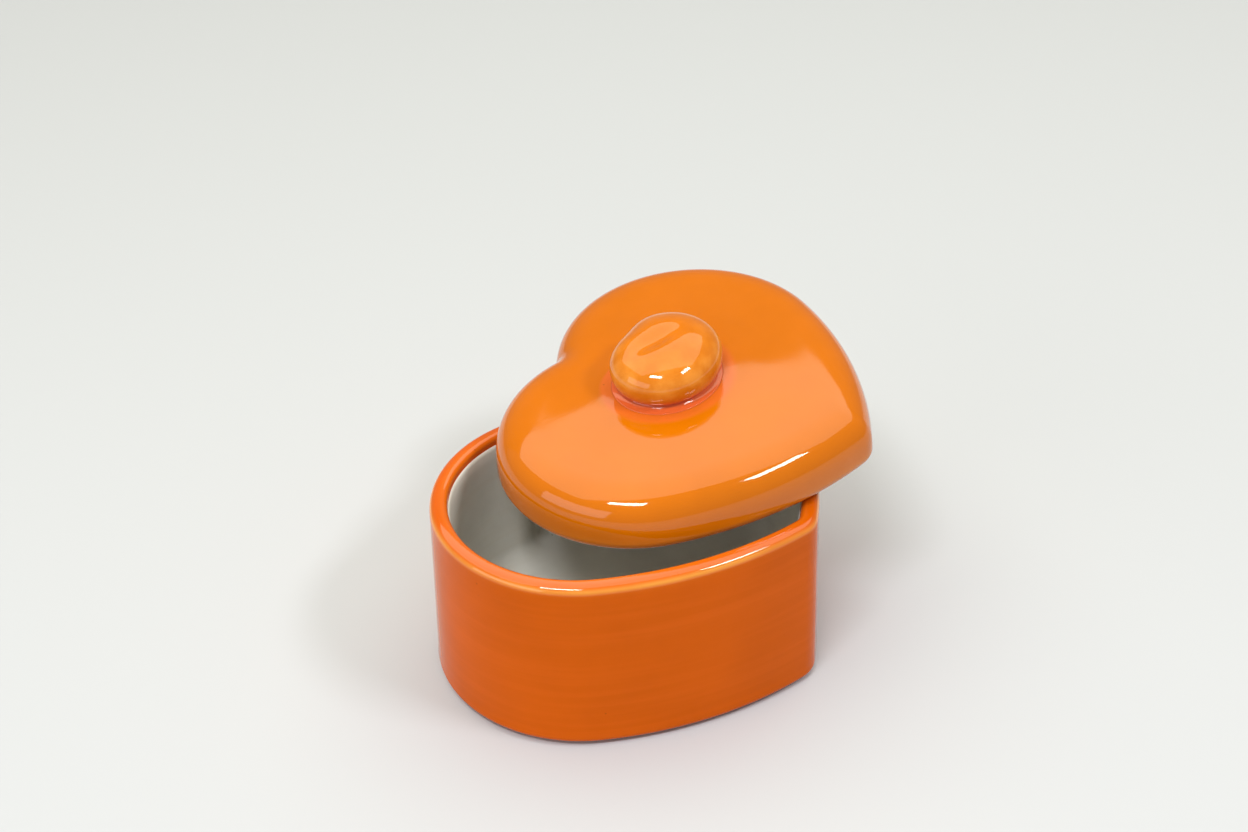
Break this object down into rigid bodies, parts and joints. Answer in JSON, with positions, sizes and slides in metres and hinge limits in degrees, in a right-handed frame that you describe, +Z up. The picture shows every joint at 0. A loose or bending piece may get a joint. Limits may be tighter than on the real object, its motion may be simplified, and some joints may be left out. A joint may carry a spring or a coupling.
{
  "type": "heart-shaped trinket box",
  "caption": "Glazed ceramic heart-shaped trinket box with a puffy lid that lies askew on the rim and lifts off by a pinched knob.",
  "frame": {"origin": "on the table, at the centre of the bare clay foot under the box", "axes": "+Z up; the heart's tip points along -Y and its two lobes along +Y; the box is symmetric about X = 0 and its lid lies askew towards +X"},
  "size_m": [0.1378, 0.1039, 0.0853],
  "materials": {
    "box_glaze": "gloss",
    "lid_glaze": "gloss",
    "liner_glaze": "satin",
    "bare_clay": "matte",
    "pooled_glaze": "gloss"
  },
  "bodies": {
    "base": {"box_body": "box_glaze", "box_liner": "liner_glaze", "foot_ring": "bare_clay"},
    "lid": {"lid_shell": "lid_glaze", "lid_liner": "liner_glaze", "locating_ring": "lid_glaze", "knob": "lid_glaze", "knob_bead": "pooled_glaze"}
  },
  "joints": [
    {"name": "lid_lift", "type": "slide", "parent": "base", "child": "lid", "axis": [0, 0, 1], "range_m": [0, 0.09]}
  ]
}
